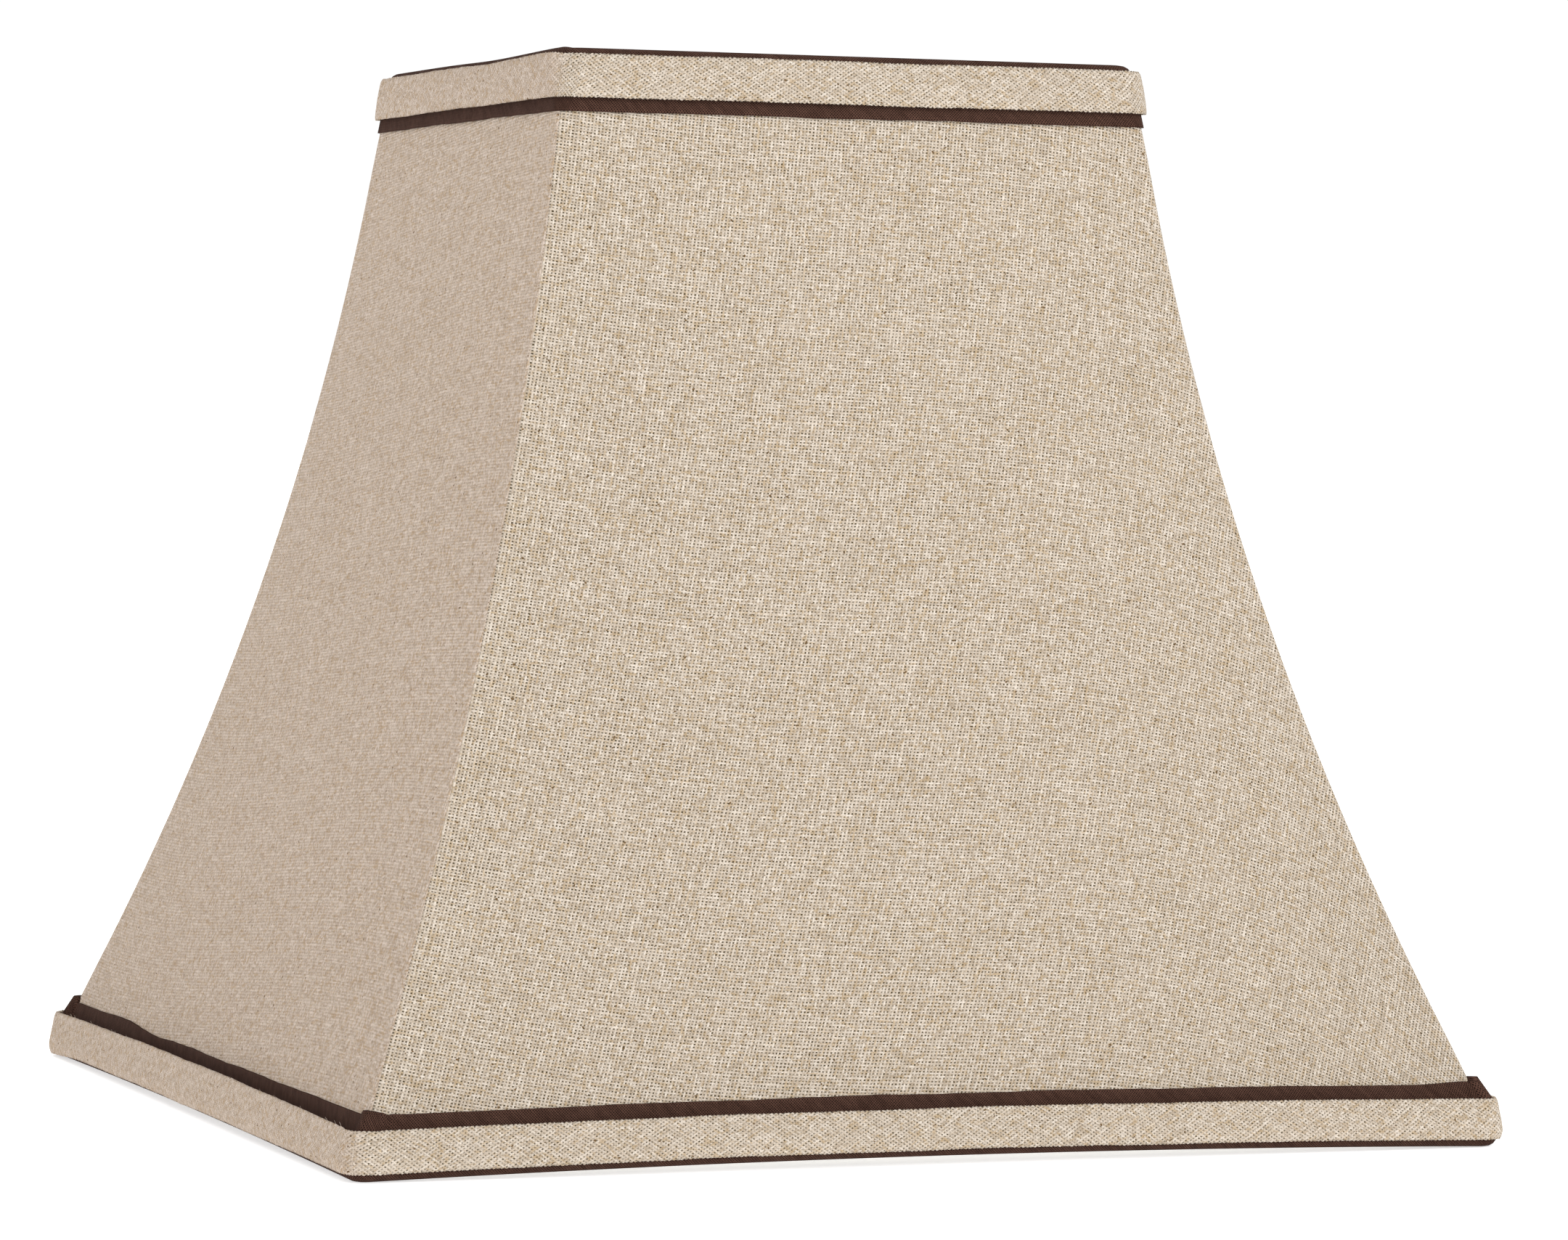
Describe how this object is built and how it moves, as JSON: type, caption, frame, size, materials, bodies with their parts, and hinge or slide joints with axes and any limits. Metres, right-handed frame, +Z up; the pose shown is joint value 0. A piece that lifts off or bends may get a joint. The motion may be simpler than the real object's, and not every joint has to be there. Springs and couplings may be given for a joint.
{
  "type": "lamp shade",
  "caption": "Square bell lamp shade in oatmeal linen with brown bias tape and a linen band at both rims, lined, on a wire frame with a recessed washer fitter.",
  "frame": {"origin": "on the shade's axis, level with the lowest points of the bottom rim", "axes": "+Z up along the shade's axis; -Y is the front and +X its right-hand side as seen from the front"},
  "size_m": [0.2554, 0.2554, 0.2286],
  "materials": {
    "oatmeal_linen": "plain-weave linen, natural oatmeal with slubs, matt",
    "brown_tape": "dark brown bias tape, fine weave, faint sheen",
    "lining_cloth": "smooth off-white lining, matt",
    "nickel_wire": "nickel-plated steel wire, satin"
  },
  "bodies": {
    "root": {"top_ring": "nickel_wire", "bottom_ring": "nickel_wire", "corner_rib_front_left": "nickel_wire", "corner_rib_front_right": "nickel_wire", "corner_rib_back_right": "nickel_wire", "corner_rib_back_left": "nickel_wire", "spider_washer": "nickel_wire", "spider_arm_front": "nickel_wire", "spider_arm_right": "nickel_wire", "spider_arm_back": "nickel_wire", "spider_arm_left": "nickel_wire", "panel_front": "oatmeal_linen", "panel_right": "oatmeal_linen", "panel_back": "oatmeal_linen", "panel_left": "oatmeal_linen", "lining_front": "lining_cloth", "lining_right": "lining_cloth", "lining_back": "lining_cloth", "lining_left": "lining_cloth", "top_brown_tape": "brown_tape", "bottom_brown_tape": "brown_tape", "top_linen_band": "oatmeal_linen", "bottom_linen_band": "oatmeal_linen"}
  },
  "joints": []
}
